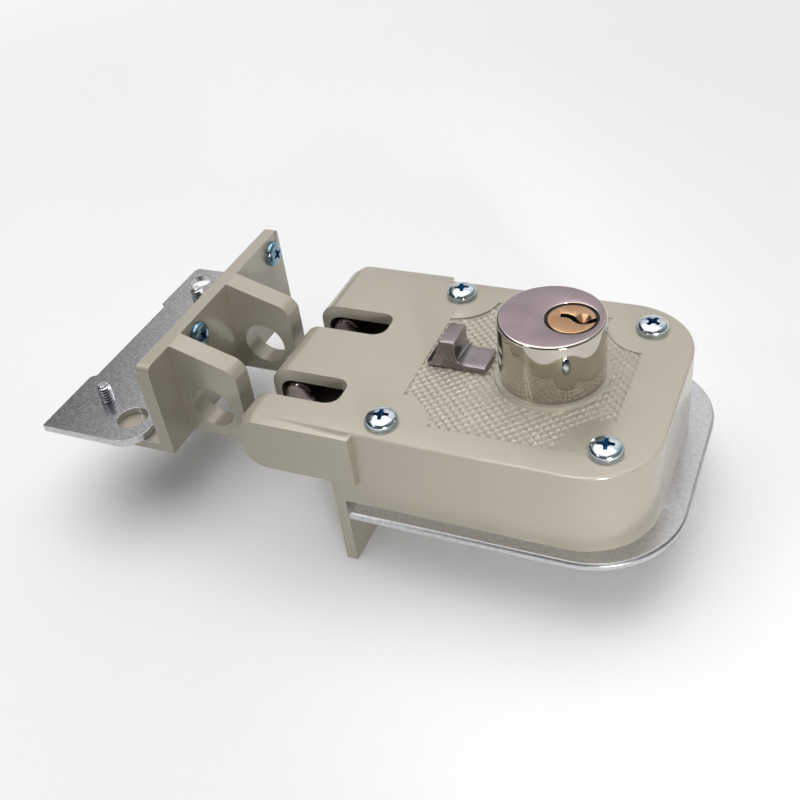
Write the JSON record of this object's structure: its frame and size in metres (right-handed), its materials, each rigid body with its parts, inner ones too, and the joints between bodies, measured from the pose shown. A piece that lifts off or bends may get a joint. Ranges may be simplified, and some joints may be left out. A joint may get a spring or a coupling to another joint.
{
  "type": "double cylinder rim lock",
  "caption": "Surface-mounted interlocking deadlock with inside key cylinder and thumb slide, on a steel mounting plate, with a separate drilled-ear strike.",
  "frame": {"origin": "on the key cylinder's axis, in the door face under the mounting plate", "axes": "+X from the nose towards the rounded rear end, +Y along the door edge, +Z out of the door face"},
  "size_m": [0.1921, 0.0923, 0.0702],
  "materials": {
    "casting_paint": "gloss champagne enamel",
    "bright_steel": "polished and brushed",
    "zinc_screws": "bright zinc",
    "chrome_cylinder": "polished chrome",
    "plug_brass": "polished brass",
    "pin_brass": "turned brass",
    "spring_steel": "bright spring steel",
    "hidden_steel": "plain pressed steel",
    "bolt_steel": "ground and polished",
    "slide_nickel": "satin nickel"
  },
  "bodies": {
    "lock_body": {"case": "casting_paint", "mounting_plate": "bright_steel", "case_screws": "zinc_screws", "cylinder_housing": "chrome_cylinder", "cylinder_nut": "hidden_steel", "chamber_plugs": "chrome_cylinder", "driver_pins": "pin_brass", "driver_springs": "spring_steel", "detent_spring": "spring_steel", "detent_rivet": "hidden_steel", "guide_screws": "zinc_screws", "guide_washers": "zinc_screws"},
    "key_plug": {"plug": "plug_brass", "key_pins": "pin_brass", "plug_clip": "spring_steel", "cam": "hidden_steel", "cam_screws": "zinc_screws", "drive_pin": "hidden_steel"},
    "bolt_work": {"carriage": "hidden_steel", "bolt_pins": "bolt_steel"},
    "slide_work": {"thumb_slide": "slide_nickel", "lock_plate": "hidden_steel", "slide_screw": "zinc_screws"},
    "strike": {"strike_casting": "casting_paint", "strike_plate": "bright_steel", "strike_screws": "zinc_screws", "stud_screws": "zinc_screws"}
  },
  "joints": [
    {"name": "key_turn", "type": "hinge", "parent": "lock_body", "child": "key_plug", "pos_m": [0.0055, 0, 0], "axis": [0, 0, 1], "range_deg": [0, 81.4]},
    {"name": "bolt_throw", "type": "slide", "parent": "lock_body", "child": "bolt_work", "axis": [0, -1, 0], "range_m": [0, 0.015]},
    {"name": "thumb_throw", "type": "slide", "parent": "lock_body", "child": "slide_work", "axis": [-1, 0, 0], "range_m": [0, 0.005]},
    {"name": "door_closing", "type": "slide", "parent": "lock_body", "child": "strike", "axis": [1, 0, 0], "range_m": [0, 0.0244]}
  ],
  "couplings": [
    {"joint": "key_turn", "follows": "bolt_throw", "rad_per_m": 94.7}
  ]
}
